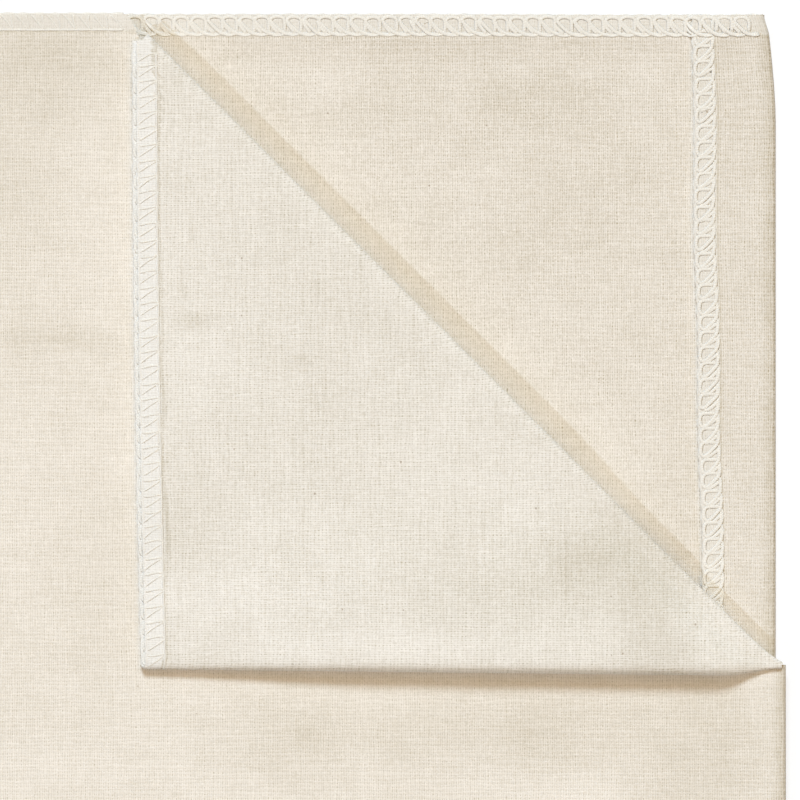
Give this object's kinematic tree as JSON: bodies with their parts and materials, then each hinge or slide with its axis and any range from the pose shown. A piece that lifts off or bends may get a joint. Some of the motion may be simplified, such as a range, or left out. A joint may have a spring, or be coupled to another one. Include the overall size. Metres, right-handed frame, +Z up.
{
  "type": "baker's couche cloth",
  "caption": "Heavy unbleached cotton proofing cloth, folded in three like a letter, with overlocked edges, flat side hems and one corner of the upper plies turned back.",
  "frame": {"origin": "under the middle of the folded cloth, on the table that it lies on", "axes": "+Z up, +Y towards the overlocked end that has the turned corner, +X towards the fold on the turned corner's side"},
  "size_m": [0.2, 0.45, 0.0091],
  "materials": {
    "couche_cotton": "matte unbleached cotton in plain weave, cream, with small slubs and flecks",
    "overlock_thread": "pale matte cotton sewing thread, wrapped as an overlock stitch"
  },
  "bodies": {
    "base": {"lower_panel": "couche_cotton", "lower_top_overlock": "overlock_thread", "lower_top_needle_thread": "overlock_thread", "lower_bottom_overlock": "overlock_thread", "lower_bottom_needle_thread": "overlock_thread", "side_hem": "couche_cotton", "side_hem_fold": "couche_cotton", "side_hem_overlock": "overlock_thread", "side_hem_needle_thread": "overlock_thread", "left_fold": "couche_cotton"},
    "cover": {"middle_panel": "couche_cotton", "middle_top_overlock": "overlock_thread", "middle_top_needle_thread": "overlock_thread", "middle_bottom_overlock": "overlock_thread", "middle_bottom_needle_thread": "overlock_thread", "right_fold": "couche_cotton", "tucked_panel": "couche_cotton", "tucked_top_overlock": "overlock_thread", "tucked_top_needle_thread": "overlock_thread", "tucked_bottom_overlock": "overlock_thread", "tucked_bottom_needle_thread": "overlock_thread", "tucked_hem": "couche_cotton", "tucked_hem_fold": "couche_cotton", "tucked_hem_overlock": "overlock_thread", "tucked_hem_needle_thread": "overlock_thread", "crease_inner": "couche_cotton", "crease_outer": "couche_cotton"},
    "corner": {"corner_lower_ply": "couche_cotton", "corner_lower_overlock": "overlock_thread", "corner_lower_needle_thread": "overlock_thread", "corner_upper_ply": "couche_cotton", "corner_upper_overlock": "overlock_thread", "corner_upper_needle_thread": "overlock_thread", "corner_fold": "couche_cotton"}
  },
  "joints": [
    {"name": "cover_fold", "type": "hinge", "parent": "base", "child": "cover", "pos_m": [-0.09785, 0, 0.00215], "axis": [0, -1, 0], "range_deg": [0, 170], "deforming": ["left_fold"]},
    {"name": "corner_crease", "type": "hinge", "parent": "cover", "child": "corner", "pos_m": [0.0251, 0.14706, 0.00455], "axis": [-0.7071, 0.7071, 0], "range_deg": [0, 165], "deforming": ["crease_inner", "crease_outer"]}
  ]
}
